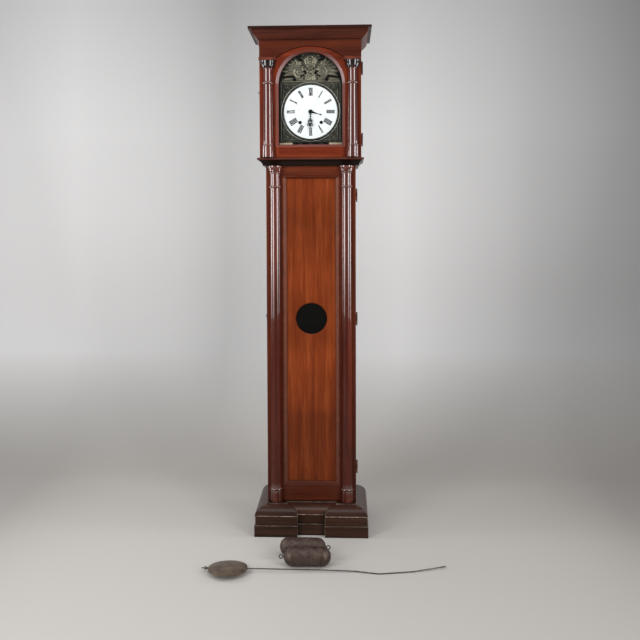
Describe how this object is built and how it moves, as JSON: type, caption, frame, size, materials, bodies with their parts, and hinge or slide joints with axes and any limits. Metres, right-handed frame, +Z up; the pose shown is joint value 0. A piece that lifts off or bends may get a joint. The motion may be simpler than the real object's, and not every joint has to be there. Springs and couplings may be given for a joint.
{
  "type": "longcase clock",
  "caption": "Tall narrow wooden longcase clock with an arched glazed hood door, a porthole trunk door and a cage movement; its weights and wire pendulum lie on the floor.",
  "frame": {"origin": "middle of the plinth's underside, on the floor: half way across the case, and where the plinth's depth would be halved by the movement's centre plane", "axes": "+X to the right of the dial, +Y to the wall behind the case, +Z up"},
  "size_m": [0.925, 0.6579, 2.12],
  "materials": {
    "polished_wood": "gloss",
    "dark_wood": "satin",
    "plinth_wood": "worn satin",
    "column_wood": "gloss",
    "plain_wood": "matt",
    "capital_metal": "darkened",
    "hinge_steel": "dull",
    "clear_glass": "clear",
    "mask_brass": "aged",
    "dial_enamel": "gloss",
    "hand_steel": "blued",
    "cage_iron": "forged",
    "wheel_brass": "satin",
    "bell_metal": "satin",
    "weight_iron": "rusty",
    "bob_brass": "tarnished",
    "rod_steel": "dull"
  },
  "bodies": {
    "case": {"plinth_base": "plinth_wood", "plinth_cap": "plinth_wood", "bottom_board": "plain_wood", "glue_blocks": "plain_wood", "trunk_sides": "dark_wood", "back_board": "plain_wood", "front_rails": "plain_wood", "waist_moulding": "dark_wood", "seat_board": "plain_wood", "hood_sides": "dark_wood", "frieze_board": "polished_wood", "cornice": "dark_wood", "roof_board": "plain_wood", "case_hinge_leaves": "hinge_steel", "hook_screws": "hinge_steel", "dial_mask": "mask_brass", "dial_plate": "dial_enamel", "dial_bezel": "mask_brass", "cage_plates": "cage_iron", "cage_pillars": "cage_iron", "train_bars": "cage_iron", "suspension": "cage_iron", "bell": "bell_metal", "bell_stand": "cage_iron"},
    "hood_door": {"hood_door_frame": "polished_wood", "hood_door_glass": "clear_glass", "hood_columns": "column_wood", "hood_capitals": "capital_metal", "hood_hinge_leaves": "hinge_steel", "hood_door_staple": "hinge_steel"},
    "trunk_door": {"trunk_door_frame": "polished_wood", "trunk_door_panel": "polished_wood", "porthole_glass": "clear_glass", "trunk_columns": "column_wood", "trunk_hinge_leaves": "hinge_steel", "trunk_door_staple": "hinge_steel"},
    "hood_hook": {"hood_hook": "hinge_steel"},
    "trunk_hook": {"trunk_hook": "hinge_steel"},
    "minute_hand": {"minute_hand": "hand_steel", "cannon_pinion": "wheel_brass"},
    "minute_wheel": {"minute_wheel": "wheel_brass"},
    "hour_hand": {"hour_hand": "hand_steel", "hour_wheel": "wheel_brass"},
    "centre_arbor": {"centre_arbor": "wheel_brass"},
    "going_great_wheel": {"going_great_wheel": "wheel_brass"},
    "going_drum": {"going_drum": "wheel_brass"},
    "third_arbor": {"third_arbor": "wheel_brass"},
    "escape_arbor": {"escape_arbor": "wheel_brass"},
    "anchor": {"anchor": "cage_iron"},
    "strike_great_wheel": {"strike_great_wheel": "wheel_brass"},
    "strike_drum": {"strike_drum": "wheel_brass"},
    "pin_wheel": {"pin_wheel": "wheel_brass"},
    "fly": {"fly_arbor": "wheel_brass", "fly": "wheel_brass"},
    "hammer": {"hammer": "cage_iron"},
    "weight_left": {"weight_left": "weight_iron"},
    "weight_right": {"weight_right": "weight_iron"},
    "pendulum": {"pendulum_bob": "bob_brass", "pendulum_rod": "rod_steel", "rating_nut": "bob_brass"}
  },
  "joints": [
    {"name": "hood_door_hinge", "type": "hinge", "parent": "case", "child": "hood_door", "pos_m": [0.2159, -0.11125, 1.809], "axis": [0, 0, 1], "range_deg": [0, 110]},
    {"name": "trunk_door_hinge", "type": "hinge", "parent": "case", "child": "trunk_door", "pos_m": [0.1929, -0.08825, 0.906], "axis": [0, 0, 1], "range_deg": [0, 110]},
    {"name": "hood_hook_turn", "type": "hinge", "parent": "case", "child": "hood_hook", "pos_m": [-0.215, -0.096, 1.86], "axis": [1, 0, 0], "range_deg": [0, 268]},
    {"name": "trunk_hook_turn", "type": "hinge", "parent": "case", "child": "trunk_hook", "pos_m": [-0.192, -0.073, 0.919], "axis": [1, 0, 0], "range_deg": [0, 268]},
    {"name": "minute_hand_turn", "type": "hinge", "parent": "case", "child": "minute_hand", "pos_m": [0, -0.1, 1.78], "axis": [0, 1, 0], "continuous": true},
    {"name": "minute_wheel_turn", "type": "hinge", "parent": "case", "child": "minute_wheel", "pos_m": [0, -0.092, 1.805], "axis": [0, 1, 0], "continuous": true},
    {"name": "hour_hand_turn", "type": "hinge", "parent": "case", "child": "hour_hand", "pos_m": [0, -0.1, 1.78], "axis": [0, 1, 0], "continuous": true},
    {"name": "third_arbor_turn", "type": "hinge", "parent": "case", "child": "third_arbor", "pos_m": [0, -0.07, 1.816], "axis": [0, 1, 0], "continuous": true},
    {"name": "centre_arbor_turn", "type": "hinge", "parent": "case", "child": "centre_arbor", "pos_m": [0, -0.06, 1.78], "axis": [0, 1, 0], "continuous": true},
    {"name": "going_great_wheel_turn", "type": "hinge", "parent": "case", "child": "going_great_wheel", "pos_m": [0.0445, -0.018, 1.735], "axis": [0, 1, 0], "continuous": true},
    {"name": "escape_arbor_turn", "type": "hinge", "parent": "case", "child": "escape_arbor", "pos_m": [0, 0.019, 1.8466], "axis": [0, 1, 0], "continuous": true},
    {"name": "going_winding", "type": "hinge", "parent": "going_great_wheel", "child": "going_drum", "pos_m": [0.0445, 0, 1.735], "axis": [0, 1, 0], "continuous": true},
    {"name": "anchor_swing", "type": "hinge", "parent": "case", "child": "anchor", "pos_m": [0, 0.019, 1.88054], "axis": [0, 1, 0], "range_deg": [-2, 2]},
    {"name": "pin_wheel_turn", "type": "hinge", "parent": "case", "child": "pin_wheel", "pos_m": [-0.0445, -0.044, 1.79829], "axis": [0, 1, 0], "continuous": true},
    {"name": "strike_great_wheel_turn", "type": "hinge", "parent": "case", "child": "strike_great_wheel", "pos_m": [-0.0445, -0.033, 1.735], "axis": [0, 1, 0], "continuous": true},
    {"name": "fly_turn", "type": "hinge", "parent": "case", "child": "fly", "pos_m": [-0.0445, 0.02, 1.82889], "axis": [0, 1, 0], "continuous": true},
    {"name": "strike_winding", "type": "hinge", "parent": "strike_great_wheel", "child": "strike_drum", "pos_m": [-0.0445, 0, 1.735], "axis": [0, 1, 0], "continuous": true},
    {"name": "hammer_lift", "type": "hinge", "parent": "case", "child": "hammer", "pos_m": [-0.0445, -0.04, 1.86889], "axis": [0, -1, 0], "range_deg": [0, 12]},
    {"name": "weight_left_lift", "type": "slide", "parent": "case", "child": "weight_left", "axis": [0, 0, 1], "range_m": [0, 0.1]},
    {"name": "weight_right_lift", "type": "slide", "parent": "case", "child": "weight_right", "axis": [0, 0, 1], "range_m": [0, 0.1]},
    {"name": "pendulum_lift", "type": "slide", "parent": "case", "child": "pendulum", "axis": [0, 0, 1], "range_m": [0, 0.1]}
  ],
  "couplings": [
    {"joint": "minute_wheel_turn", "follows": "minute_hand_turn", "ratio": -0.33333},
    {"joint": "hour_hand_turn", "follows": "minute_hand_turn", "ratio": 0.083333},
    {"joint": "centre_arbor_turn", "follows": "third_arbor_turn", "ratio": -0.125},
    {"joint": "going_great_wheel_turn", "follows": "third_arbor_turn", "ratio": 0.020833},
    {"joint": "escape_arbor_turn", "follows": "third_arbor_turn", "ratio": -7.5},
    {"joint": "strike_great_wheel_turn", "follows": "pin_wheel_turn", "ratio": -0.16667},
    {"joint": "fly_turn", "follows": "pin_wheel_turn", "ratio": -7.5}
  ]
}
